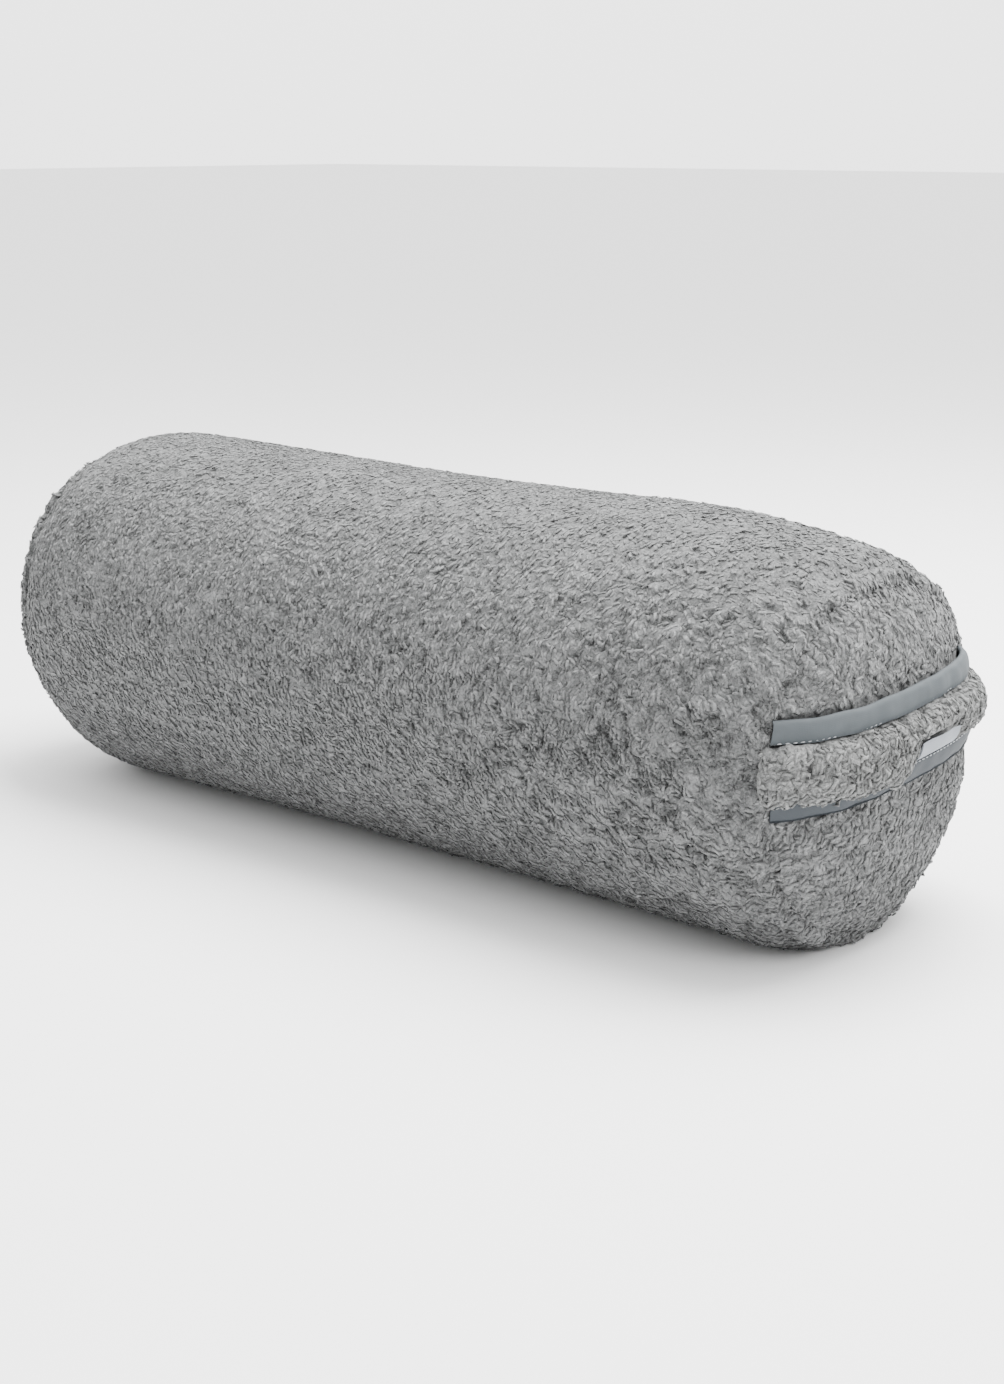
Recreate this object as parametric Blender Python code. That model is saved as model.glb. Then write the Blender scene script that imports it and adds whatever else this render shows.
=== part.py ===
"""Round yoga bolster: a firmly filled fleece tube, a domed panel on each end and a bound carrying strap.

The bolster lies along X on its pressed underside, with the floor at Z = 0 and the strap across the +X end.
Every fleece solid reaches as far as the tips of its pile. All sizes are in metres.
"""

import math
from collections import namedtuple

import bmesh
import bpy
from mathutils import Matrix, Vector

# Driving sizes of the filled tube
LENGTH = 0.650
MEAN_RADIUS = 0.113
PRESSED = 0.008  # how far the filling's weight has flattened the underside
CROWN_EXPONENT = 2.16  # above 2 the upper half is a little square, as a firm filling makes it
UNDER_EXPONENT = 1.92
FLOOR = 0.0

# The tube is fuller near its ends than in the middle, and its strap end sags at the top.
Section = namedtuple("Section", "x half_width top")
SECTIONS = (
    Section(-0.30, 0.1130, 0.2266),
    Section(-0.20, 0.1148, 0.2235),
    Section(-0.10, 0.1133, 0.2211),
    Section(0.00, 0.1114, 0.2189),
    Section(0.10, 0.1113, 0.2192),
    Section(0.20, 0.1150, 0.2203),
    Section(0.29, 0.1140, 0.2073),
)

# An end is a dome on the tube's section. A higher fullness makes its face flatter and its rim squarer.
End = namedtuple("End", "side depth fullness")
PLAIN_END = End(side=-1, depth=0.093, fullness=2.11)
STRAP_END = End(side=1, depth=0.050, fullness=2.54)

# The seam that joins an end panel to the tube, as a share of the section's radius
SEAM_SHARE = 0.88
SEAM_DEPTH = 0.0040
SEAM_REACH = 0.006
PANEL_THICKNESS = 0.009  # knitted backing and pile together
GAP = 0.0003

# The strap: a fleece web whose two long edges are bound with folded tape
STRAP_HEIGHT = 0.1186
STRAP_TILT = math.radians(3.6)
STRAP_END_SHARE = 0.8715  # the strap stops just inside the panel's seam
STRAP_CLEARANCE = 0.0006
STRAP_STANDOFF = 0.0015  # the strap's middle stands this far off the dome
STRAP_END_SUNK = 0.0060  # and its ends are drawn this much further in, down into the panel's pile
TROUGH_FLOOR = 0.0290  # half the width of the pressed pile under the strap
TROUGH_RIM = 0.0400
TROUGH_SPARE = 0.0008
STRAP_WIDTH = 0.0502
WEB_BOTTOM = 0.0012
WEB_TOP = 0.0026
PILE_HEIGHT = 0.0104  # the strap's pile, above its web
TAPE_WIDTH = 0.0118
TAPE_THICKNESS = 0.0009
TAPE_FACE = 0.0029
TAPE_CORNER = 0.0005

# The seam is pulled in where the strap's ends are sewn to it.
PULL_DEPTH = 0.0045
PULL_ACROSS = 0.032
PULL_ALONG = 0.034

# Along the strap: how far its pile hangs over the lower tape, how hollow that lower flank of the pile is
# (below 1 it bulges), and how much the upper edge rises. The label holds the pile back.
StrapRow = namedtuple("StrapRow", "along overhang hollow rise")
STRAP_ROWS = (
    StrapRow(-0.100, 0.0040, 0.75, 0.0012),
    StrapRow(-0.075, 0.0055, 0.75, 0.0006),
    StrapRow(-0.050, 0.0070, 0.75, 0.0000),
    StrapRow(-0.024, 0.0080, 0.75, 0.0000),
    StrapRow(-0.012, 0.0050, 1.10, 0.0000),
    StrapRow(-0.004, -0.0015, 3.00, 0.0000),
    StrapRow(0.035, -0.0015, 3.00, 0.0000),
    StrapRow(0.047, 0.0005, 1.00, 0.0000),
    StrapRow(0.100, 0.0030, 0.75, 0.0000),
)

# The label stands in the lower tape's seam.
LABEL_START = -0.004
LABEL_LENGTH = 0.036
LabelPoint = namedtuple("LabelPoint", "up away")
LABEL_FOOT = LabelPoint(-0.0006, 0.0003)
LABEL_BEND = LabelPoint(0.0014, 0.0040)
LABEL_HEAD = LabelPoint(0.0092, 0.0056)
LABEL_THICKNESS = 0.0009

# How finely the solids are drawn
AROUND = 60
TUBE_RINGS = 17
END_RINGS = 9
LIP_RINGS = 3
STRAP_STATIONS = 37
CROWN_POINTS = 11
LABEL_STATIONS = 8

STRAP_TURN = Matrix.Rotation(STRAP_TILT, 3, "X")
STRAP_PLACE = Vector((LENGTH / 2, 0, STRAP_HEIGHT))

GREY_FLEECE = (0.300, 0.300, 0.295)
GREY_TAPE = (0.270, 0.290, 0.310)
WHITE_WEAVE = (0.620, 0.640, 0.680)


def smooth_between(table, key, value, at):
    """A column of a table at a place between its rows, on a smooth curve through all of them."""
    places = [getattr(row, key) for row in table]
    values = [getattr(row, value) for row in table]
    if at <= places[0]:
        return values[0]
    if at >= places[-1]:
        return values[-1]
    i = max(n for n, place in enumerate(places) if place <= at)
    span = places[i + 1] - places[i]

    def slope(n):
        before, after = max(n - 1, 0), min(n + 1, len(places) - 1)
        return (values[after] - values[before]) / (places[after] - places[before])

    t = (at - places[i]) / span
    return (
        (2 * t**3 - 3 * t**2 + 1) * values[i]
        + (t**3 - 2 * t**2 + t) * span * slope(i)
        + (3 * t**2 - 2 * t**3) * values[i + 1]
        + (t**3 - t**2) * span * slope(i + 1)
    )


def half_width_at(x):
    return smooth_between(SECTIONS, "x", "half_width", x)


def half_height_at(x):
    """Half the height that the section would have if nothing pressed it flat."""
    return (smooth_between(SECTIONS, "x", "top", x) + PRESSED) / 2


def centre_height_at(x):
    return smooth_between(SECTIONS, "x", "top", x) - half_height_at(x)


def half_span_at(z, share):
    """Half the width of the strap end's dome at a height, at a share of its full section."""
    x = LENGTH / 2 - STRAP_END.depth
    up = (z - centre_height_at(x)) / half_height_at(x)
    exponent = CROWN_EXPONENT if up >= 0 else UNDER_EXPONENT
    return half_width_at(x) * max(share**exponent - abs(up) ** exponent, 0) ** (1 / exponent)


def pulled_in(point):
    """A point of the bolster, drawn in by the stitching of the strap's ends."""
    across = (abs(point.y) - half_span_at(STRAP_HEIGHT, SEAM_SHARE)) / PULL_ACROSS
    along = (point.x - end_point(STRAP_END, SEAM_SHARE, 0).x) / PULL_ALONG
    up = (point.z - STRAP_HEIGHT) / PULL_ACROSS
    pull = PULL_DEPTH * math.exp(-(across**2) - along**2 - up**2)
    return point + Vector((-0.5, -math.copysign(0.87, point.y), 0)) * pull


def ring(x, share):
    """One closed loop of points round the bolster, at a share of the full section."""
    points = []
    for i in range(AROUND):
        angle = 2 * math.pi * i / AROUND
        across, up = math.cos(angle), math.sin(angle)
        exponent = CROWN_EXPONENT if up >= 0 else UNDER_EXPONENT
        reach = share * (abs(across) ** exponent + abs(up) ** exponent) ** (-1 / exponent)
        z = centre_height_at(x) + half_height_at(x) * reach * up
        point = pulled_in(Vector((x, half_width_at(x) * reach * across, z)))
        point.z = max(point.z, FLOOR)
        points.append(point)
    return points


EndPoint = namedtuple("EndPoint", "x share")


def end_point(end, share, inset):
    """A point of an end's outline, where the dome is a share of its full radius, set in from the surface."""
    rise = (1 - min(share, 1) ** end.fullness) ** (1 / end.fullness)
    x = end.side * (LENGTH / 2 - end.depth + (end.depth - inset) * rise)
    return EndPoint(x, share * (1 - inset / MEAN_RADIUS))


def seam_inset(share):
    """The seam's groove: its depth fades out with the distance from the seam."""
    distance = (share - SEAM_SHARE) * MEAN_RADIUS
    return SEAM_DEPTH * math.exp(-((distance / SEAM_REACH) ** 2))


def dome_shares(count):
    """Shares of the radius from the seam to the dome's middle, in even steps of its arc."""
    widest = math.asin(SEAM_SHARE)
    return [math.sin(widest * (1 - i / count)) for i in range(1, count)]


def lip_steps():
    """Distances from the seam, as shares, for the short steps that the groove needs."""
    step = SEAM_REACH / 2 / MEAN_RADIUS
    return [step * i for i in range(LIP_RINGS)]


def covered_shares():
    """Shares of the dome under a panel, clear of the panel's lip."""
    return [share for share in dome_shares(END_RINGS) if share < SEAM_SHARE - lip_steps()[-1] - 0.02]


def closed_loft(name, loops):
    """A solid through closed loops of points, with both of its last loops capped."""
    mesh = bmesh.new()
    previous = None
    for points in loops:
        corners = [mesh.verts.new(point) for point in points]
        edges = [mesh.edges.new((corners[i - 1], corners[i])) for i in range(len(corners))]
        if previous is None:
            bmesh.ops.contextual_create(mesh, geom=edges)
        else:
            bmesh.ops.bridge_loops(mesh, edges=previous + edges)
        previous = edges
    bmesh.ops.contextual_create(mesh, geom=previous)
    bmesh.ops.recalc_face_normals(mesh, faces=mesh.faces)
    data = bpy.data.meshes.new(name)
    mesh.to_mesh(data)
    mesh.free()
    return bpy.data.objects.new(name, data)


def filled_tube():
    """The filled bolster: the tube of fleece, and under each end panel the filling's own domed end."""
    under_panel = PANEL_THICKNESS + GAP
    half_gap = GAP / 2 / MEAN_RADIUS
    ends = []
    for end in (PLAIN_END, STRAP_END):
        lip = [SEAM_SHARE + half_gap + step for step in lip_steps()]
        shoulder = [(1 + lip[-1]) / 2, 0.985]
        hidden = [end_point(end, share, under_panel) for share in [*reversed(covered_shares()), lip[0]]]
        shown = [end_point(end, share, seam_inset(share)) for share in lip + shoulder]
        ends.append(hidden + shown)
    first = -(LENGTH / 2 - PLAIN_END.depth)
    last = LENGTH / 2 - STRAP_END.depth
    tube = [EndPoint(first + (last - first) * i / (TUBE_RINGS - 1), 1) for i in range(TUBE_RINGS)]
    return closed_loft("filled_tube", [ring(p.x, p.share) for p in ends[0] + tube + ends[1][::-1]])


def strap_sink(along):
    """How deep the strap lies in the dome's pile, at a distance from the strap's middle."""
    return STRAP_END_SUNK * abs(along / half_span_at(STRAP_HEIGHT, STRAP_END_SHARE)) ** 3 - STRAP_STANDOFF


def outward_at(y):
    """The level direction out of the strap end's dome, at a distance from its middle."""
    share = min(abs(y) / half_width_at(LENGTH / 2 - STRAP_END.depth), 0.97)
    bulge = STRAP_END.fullness - 1
    rise = (1 - share**STRAP_END.fullness) ** (1 / STRAP_END.fullness)
    ahead = rise**bulge / STRAP_END.depth
    sideways = share**bulge / MEAN_RADIUS
    return Vector((ahead, math.copysign(sideways, y), 0)).normalized()


def pressed_by_strap(point, groove):
    """A point of the strap end's panel, pushed in where the strap lies on it."""
    in_strap = STRAP_TURN.transposed() @ (point - STRAP_PLACE)
    fade = (TROUGH_RIM - abs(in_strap.z)) / (TROUGH_RIM - TROUGH_FLOOR)
    fade = min(max(fade, 0), 1)
    depth = (strap_sink(in_strap.y) + TROUGH_SPARE) * fade * fade * (3 - 2 * fade)
    return point - outward_at(point.y) * max(depth - groove, 0)


def end_panel(name, end):
    """A round panel of fleece, domed over the filling, with its rim drawn down into the seam."""
    rim = SEAM_SHARE - GAP / 2 / MEAN_RADIUS
    lip = [rim - step for step in lip_steps()]
    loops = []
    for share in reversed(lip + covered_shares()):
        groove = seam_inset(share)
        place = end_point(end, share, groove)
        loop = ring(place.x, place.share)
        if end.side > 0:
            loop = [pressed_by_strap(point, groove) for point in loop]
        loops.append(loop)
    for share in [rim, *covered_shares()]:
        place = end_point(end, share, PANEL_THICKNESS)
        loops.append(ring(place.x, place.share))
    return closed_loft(name, loops)


def dome_x(y, z):
    """Where the strap end's dome would lie without a strap, at a height and a distance from its middle."""
    x = LENGTH / 2 - STRAP_END.depth
    across = abs(y) / half_width_at(x)
    up = (z - centre_height_at(x)) / half_height_at(x)
    exponent = CROWN_EXPONENT if up >= 0 else UNDER_EXPONENT
    share = (across**exponent + abs(up) ** exponent) ** (1 / exponent)
    return end_point(STRAP_END, share, 0).x


def on_strap(along, across, away):
    """A point of the strap in its own frame: along it, across it and away from the panel it lies on."""
    flat = STRAP_TURN @ Vector((0, along, across)) + STRAP_PLACE
    flat.y *= half_span_at(flat.z, STRAP_END_SHARE) / half_span_at(STRAP_HEIGHT, STRAP_END_SHARE)
    face = pulled_in(Vector((dome_x(flat.y, flat.z), flat.y, flat.z)))
    lift = away + STRAP_CLEARANCE - strap_sink(along)
    return STRAP_TURN.transposed() @ (face + outward_at(flat.y) * lift - STRAP_PLACE)


def swept(name, start, stop, count, outline_at):
    """A solid that carries an outline, given across the strap and away from the panel, along the strap."""
    loops = []
    for i in range(count):
        along = start + (stop - start) * i / (count - 1)
        loops.append([on_strap(along, across, away) for across, away in outline_at(along)])
    return closed_loft(name, loops)


def strap_column(value, along):
    return smooth_between(STRAP_ROWS, "along", value, along)


def web_outline(along):
    """The strap's web, thin inside both tapes, with a crown of pile that hangs over the lower tape."""
    edge = STRAP_WIDTH / 2 - TAPE_THICKNESS - 2 * GAP
    side = STRAP_WIDTH / 2 - TAPE_WIDTH - GAP
    over_tape = TAPE_FACE + TAPE_THICKNESS + 2 * GAP
    rise = strap_column("rise", along)
    top = WEB_TOP + PILE_HEIGHT * (1 - 0.30 * abs(along / half_span_at(STRAP_HEIGHT, STRAP_END_SHARE)) ** 8)
    outline = [(-edge, WEB_TOP), (-edge, WEB_BOTTOM)]
    outline += [(side * i / 2, WEB_BOTTOM) for i in range(-2, 3)]
    outline += [(edge + rise, WEB_BOTTOM), (edge + rise, WEB_TOP), (side + rise, WEB_TOP)]
    for i in range(CROWN_POINTS):
        angle = math.pi * (i + 0.5) / CROWN_POINTS
        upper = angle < math.pi / 2
        power = 0.75 if upper else strap_column("hollow", along)
        reach = side + rise if upper else -side - strap_column("overhang", along)
        base = WEB_TOP if upper else over_tape
        across = reach * abs(math.cos(angle)) ** power
        outline.append((across, base + (top - base) * math.sin(angle) ** power))
    return [*outline, (-side, over_tape - GAP), (-side, WEB_TOP)]


def tape_outline(along, upper):
    """One folded tape: a narrow U that wraps an edge of the web."""
    fold = STRAP_WIDTH / 2
    mouth = fold - TAPE_WIDTH
    slot = fold - TAPE_THICKNESS
    face = TAPE_FACE + TAPE_THICKNESS
    outline = [
        (mouth, 0),
        (fold - 0.0014, 0),
        (fold - 0.0004, 0.0007),
        (fold, face / 2),
        (fold - 0.0004, face - 0.0007),
        (fold - 0.0014, face),
        (mouth, face),
        (mouth, TAPE_FACE),
        (slot - TAPE_CORNER, TAPE_FACE),
        (slot, TAPE_FACE - TAPE_CORNER),
        (slot, TAPE_THICKNESS + TAPE_CORNER),
        (slot - TAPE_CORNER, TAPE_THICKNESS),
        (mouth, TAPE_THICKNESS),
    ]
    rise = strap_column("rise", along)
    return [(across + rise if upper else -across, away) for across, away in outline]


def upper_tape_outline(along):
    return tape_outline(along, True)


def lower_tape_outline(along):
    return tape_outline(along, False)


def label_outline(along):
    """A short woven label, sewn in along the lower tape and standing up in front of the pile."""
    seam = (TAPE_WIDTH - STRAP_WIDTH / 2, TAPE_FACE + TAPE_THICKNESS)
    back = []
    for i in range(6):
        t = i / 5
        weights = ((1 - t) ** 2, 2 * t * (1 - t), t**2)
        marks = (LABEL_FOOT, LABEL_BEND, LABEL_HEAD)
        up = sum(weight * mark.up for weight, mark in zip(weights, marks))
        away = sum(weight * mark.away for weight, mark in zip(weights, marks))
        back.append((seam[0] + up, seam[1] + away))
    lean = Vector((LABEL_FOOT.away - LABEL_HEAD.away, LABEL_HEAD.up - LABEL_FOOT.up)).normalized()
    front = [(up + lean.x * LABEL_THICKNESS, away + lean.y * LABEL_THICKNESS) for up, away in back]
    return front + back[::-1]


def matt_cloth(name, colour):
    material = bpy.data.materials.new(name)
    material.use_nodes = True
    shader = material.node_tree.nodes["Principled BSDF"]
    shader.inputs["Base Color"].default_value = (*colour, 1)
    shader.inputs["Roughness"].default_value = 0.95
    shader.inputs["Metallic"].default_value = 0
    material.diffuse_color = (*colour, 1)
    return material


def placed(obj, holder, material):
    """Links a finished piece, gives it its cloth and hangs it on the empty that carries it."""
    bpy.context.collection.objects.link(obj)
    obj.data.materials.append(material)
    obj.data.shade_smooth()
    obj.data.set_sharp_from_angle(angle=math.radians(50))
    obj.parent = holder
    return obj


def empty(name, location, rotation, holder=None):
    holder_object = bpy.data.objects.new(name, None)
    bpy.context.collection.objects.link(holder_object)
    holder_object.location = location
    holder_object.rotation_euler = rotation
    holder_object.parent = holder
    return holder_object


def main():
    for obj in list(bpy.data.objects):
        bpy.data.objects.remove(obj)
    fleece = matt_cloth("grey_wool_fleece", GREY_FLEECE)
    tape = matt_cloth("grey_cotton_tape", GREY_TAPE)
    weave = matt_cloth("white_label_weave", WHITE_WEAVE)

    bolster = empty("bolster", (0, 0, FLOOR), (0, 0, 0))
    placed(filled_tube(), bolster, fleece)
    placed(end_panel("end_panel_strap_side", STRAP_END), bolster, fleece)
    placed(end_panel("end_panel_plain_side", PLAIN_END), bolster, fleece)

    strap = empty("strap", STRAP_PLACE, (STRAP_TILT, 0, 0), bolster)
    half_span = half_span_at(STRAP_HEIGHT, STRAP_END_SHARE)
    whole = (-half_span, half_span, STRAP_STATIONS)
    placed(swept("strap_web", *whole, web_outline), strap, fleece)
    placed(swept("strap_tape_upper", *whole, upper_tape_outline), strap, tape)
    placed(swept("strap_tape_lower", *whole, lower_tape_outline), strap, tape)
    under_label = (LABEL_START, LABEL_START + LABEL_LENGTH, LABEL_STATIONS)
    placed(swept("strap_label", *under_label, label_outline), strap, weave)


main()
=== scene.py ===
"""Round yoga bolster of grey wool fleece, in a plain pale studio.

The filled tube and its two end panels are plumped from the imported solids, the strap's tapes and label are laid
out flat and folded on, and the fleece is covered with small curled locks of wool.
"""

import math
from collections import namedtuple

import bmesh
import bpy
import numpy as np
from mathutils import Matrix, Vector, bvhtree, kdtree, noise


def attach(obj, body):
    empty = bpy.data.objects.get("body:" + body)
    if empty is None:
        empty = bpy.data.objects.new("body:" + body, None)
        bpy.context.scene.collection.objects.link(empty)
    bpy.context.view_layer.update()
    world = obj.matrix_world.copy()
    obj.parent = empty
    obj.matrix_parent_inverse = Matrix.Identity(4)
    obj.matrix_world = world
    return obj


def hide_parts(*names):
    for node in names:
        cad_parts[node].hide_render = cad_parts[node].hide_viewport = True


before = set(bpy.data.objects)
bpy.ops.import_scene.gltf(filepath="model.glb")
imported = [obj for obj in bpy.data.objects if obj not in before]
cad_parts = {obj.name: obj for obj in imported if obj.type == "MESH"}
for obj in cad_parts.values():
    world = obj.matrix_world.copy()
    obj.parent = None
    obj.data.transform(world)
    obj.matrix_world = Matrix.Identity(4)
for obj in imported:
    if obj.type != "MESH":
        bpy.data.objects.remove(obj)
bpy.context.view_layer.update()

# The noise module's vectors start anywhere unless they are seeded
noise.seed_set(7)

MM = 0.001

# The bolster's main sizes, in metres, as the solids have them
LENGTH = 0.650
MEAN_RADIUS = 0.113
PRESSED = 0.008
CROWN_EXPONENT = 2.16
UNDER_EXPONENT = 1.92
SEAM_SHARE = 0.88

# Each end is a dome on the tube's last section, and its seam lies on a smaller section of its own
Section = namedtuple("Section", "half_width top")
End = namedtuple("End", "side depth fullness section seam_section")
PLAIN_END = End(-1, 0.093, 2.11, Section(0.1145, 0.2244), Section(0.1134, 0.2259))
STRAP_END = End(1, 0.050, 2.54, Section(0.1142, 0.2096), Section(0.1140, 0.2073))

# The strap across the end
STRAP_HEIGHT = 0.1186
STRAP_TILT = math.radians(3.6)
STRAP_END_SHARE = 0.8715
STRAP_CLEARANCE = 0.0006
STRAP_STANDOFF = 0.0015
STRAP_END_SUNK = 0.0060
STRAP_WIDTH = 0.0502
TAPE_WIDTH = 0.0118
TAPE_THICKNESS = 0.0009
TAPE_FACE = 0.0029
PULL_DEPTH = 0.0045
PULL_ACROSS = 0.032
PULL_ALONG = 0.034
TAPE_MOUTH = STRAP_WIDTH / 2 - TAPE_WIDTH
TAPE_MIDDLE = 0.0195
STITCH_PITCH = 3.6 * MM
STITCH_INSET = 0.7 * MM
LABEL_START = -0.004
LABEL_LENGTH = 0.036
LABEL_ROOM = (-0.011, 0.035)
STRAP_TURN = Matrix.Rotation(STRAP_TILT, 3, "X")
STRAP_PLACE = Vector((LENGTH / 2, 0, STRAP_HEIGHT))

# The pile: how far its tips stand over the knitted backing, how far it closes over a seam and how wide
PILE = 0.0012
SEAM_LIFT = 0.0038
SEAM_REACH = 7 * MM

# The filling's core, a level line from which outward directions are taken
CORE_ENDS = (-0.235, 0.265)
CORE_HEIGHT = 0.104

# The lowest places of the base cloth, its tufts and their locks, so that the bolster rests on the floor
CLOTH_FLOOR = 1.5 * MM
TUFT_FLOOR = 0.4 * MM
LOCK_FLOOR = 0.3 * MM


def end_x(end, share):
    """Where an end's dome lies along the bolster, at a share of its full section."""
    rise = (1 - min(share, 1) ** end.fullness) ** (1 / end.fullness)
    return end.side * (LENGTH / 2 - end.depth + end.depth * rise)


def half_height(section):
    """Half the height that a section would have without the floor pressing it."""
    return (section.top + PRESSED) / 2


def centre_height(section):
    """The height of a section's middle."""
    return section.top - half_height(section)


def half_span_at(z, share):
    """Half the level width of the strap end's dome at a height, on a share of its section."""
    section = STRAP_END.section
    up = (z - centre_height(section)) / half_height(section)
    exponent = CROWN_EXPONENT if up >= 0 else UNDER_EXPONENT
    return section.half_width * max(share**exponent - abs(up) ** exponent, 0) ** (1 / exponent)


HALF_SPAN = half_span_at(STRAP_HEIGHT, STRAP_END_SHARE)


def pulled_in(point):
    """A point of the bolster, drawn in by the stitching of the strap's ends."""
    across = (abs(point.y) - half_span_at(STRAP_HEIGHT, SEAM_SHARE)) / PULL_ACROSS
    along = (point.x - end_x(STRAP_END, SEAM_SHARE)) / PULL_ALONG
    up = (point.z - STRAP_HEIGHT) / PULL_ACROSS
    pull = PULL_DEPTH * math.exp(-(across**2) - along**2 - up**2)
    return point + Vector((-0.5, -math.copysign(0.87, point.y), 0)) * pull


def seam_ring(end, count=160):
    """Points round the seam that joins an end panel to the tube."""
    section = end.seam_section
    points = []
    for i in range(count):
        angle = 2 * math.pi * i / count
        across, up = math.cos(angle), math.sin(angle)
        exponent = CROWN_EXPONENT if up >= 0 else UNDER_EXPONENT
        reach = SEAM_SHARE * (abs(across) ** exponent + abs(up) ** exponent) ** (-1 / exponent)
        z = centre_height(section) + half_height(section) * reach * up
        points.append(pulled_in(Vector((end_x(end, SEAM_SHARE), section.half_width * reach * across, z))))
    return points


def dome_x(y, z):
    """Where the strap end's dome lies at a place of its face."""
    section = STRAP_END.section
    across = abs(y) / section.half_width
    up = (z - centre_height(section)) / half_height(section)
    exponent = CROWN_EXPONENT if up >= 0 else UNDER_EXPONENT
    return end_x(STRAP_END, (across**exponent + abs(up) ** exponent) ** (1 / exponent))


def outward_at(y):
    """The level direction out of the strap end's dome, at a distance from its middle."""
    share = min(abs(y) / STRAP_END.section.half_width, 0.97)
    bulge = STRAP_END.fullness - 1
    rise = (1 - share**STRAP_END.fullness) ** (1 / STRAP_END.fullness)
    ahead = rise**bulge / STRAP_END.depth
    sideways = share**bulge / MEAN_RADIUS
    return Vector((ahead, math.copysign(sideways, y), 0)).normalized()


def on_strap(along, across, away):
    """A place on the strap: along it, across it and away from the panel it lies on."""
    flat = STRAP_TURN @ Vector((0, along, across)) + STRAP_PLACE
    flat.y *= half_span_at(flat.z, STRAP_END_SHARE) / HALF_SPAN
    face = pulled_in(Vector((dome_x(flat.y, flat.z), flat.y, flat.z)))
    sunk = STRAP_END_SUNK * abs(along / HALF_SPAN) ** 3 - STRAP_STANDOFF
    return face + outward_at(flat.y) * (away + STRAP_CLEARANCE - sunk)


# Handling of objects


def only(obj):
    """Selects one object and nothing else."""
    bpy.ops.object.select_all(action="DESELECT")
    obj.select_set(True)
    bpy.context.view_layer.objects.active = obj
    return obj


def coordinates(obj):
    """The object's points, one row each."""
    points = np.empty(len(obj.data.vertices) * 3, np.float32)
    obj.data.vertices.foreach_get("co", points)
    return points.reshape(-1, 3).astype(float)


def normals(obj):
    """The outward directions at the object's points, one row each."""
    directions = np.empty(len(obj.data.vertices) * 3, np.float32)
    obj.data.vertices.foreach_get("normal", directions)
    return directions.reshape(-1, 3).astype(float)


def move_to(obj, points):
    """Puts the object's points in new places."""
    obj.data.vertices.foreach_set("co", np.asarray(points, np.float32).ravel())
    obj.data.update()


def copy_of(node, name):
    """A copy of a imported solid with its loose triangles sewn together."""
    only(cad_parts[node])
    bpy.ops.object.duplicate()
    copy = bpy.context.view_layer.objects.active
    copy.parent = None
    for key in list(copy.keys()):
        del copy[key]
    copy.name = name
    copy.data.materials.clear()
    bpy.ops.object.mode_set(mode="EDIT")
    bpy.ops.mesh.select_all(action="SELECT")
    bpy.ops.mesh.remove_doubles(threshold=0.00002)
    bpy.ops.mesh.normals_make_consistent(inside=False)
    bpy.ops.object.mode_set(mode="OBJECT")
    return copy


def apply_all(obj):
    """Applies every modifier of the object."""
    only(obj)
    for modifier in list(obj.modifiers):
        bpy.ops.object.modifier_apply(modifier=modifier.name)


def finish_piece(obj, material, angle=180):
    """Gives a piece its material, smooth shading and body."""
    obj.data.materials.clear()
    obj.data.materials.append(material)
    only(obj)
    bpy.ops.object.shade_smooth_by_angle(angle=math.radians(angle))
    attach(obj, "root")
    return obj


# Materials


def linear(hex_colour):
    """The linear colour of an sRGB hex value."""
    parts = [int(hex_colour[i : i + 2], 16) / 255 for i in (1, 3, 5)]
    return (*[p / 12.92 if p <= 0.04045 else ((p + 0.055) / 1.055) ** 2.4 for p in parts], 1)


def add_node(owner, kind, links=(), **settings):
    """Adds a node with its settings. A link is (input name or number, node, output name or number)."""
    node = owner.node_tree.nodes.new(kind)
    for key, value in settings.items():
        if key == "inputs":
            for socket, number in value.items():
                node.inputs[socket].default_value = number
        elif key == "ramp":
            for i, (place, colour) in enumerate(value):
                element = node.color_ramp.elements[i] if i < 2 else node.color_ramp.elements.new(place)
                element.position = place
                element.color = colour
        else:
            setattr(node, key, value)
    for socket, source, output in links:
        owner.node_tree.links.new(source.outputs[output], node.inputs[socket])
    return node


def new_material(name):
    """A material and its main shader."""
    material = bpy.data.materials.new(name)
    material.use_nodes = True
    shader = material.node_tree.nodes["Principled BSDF"]
    return material, shader


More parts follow.
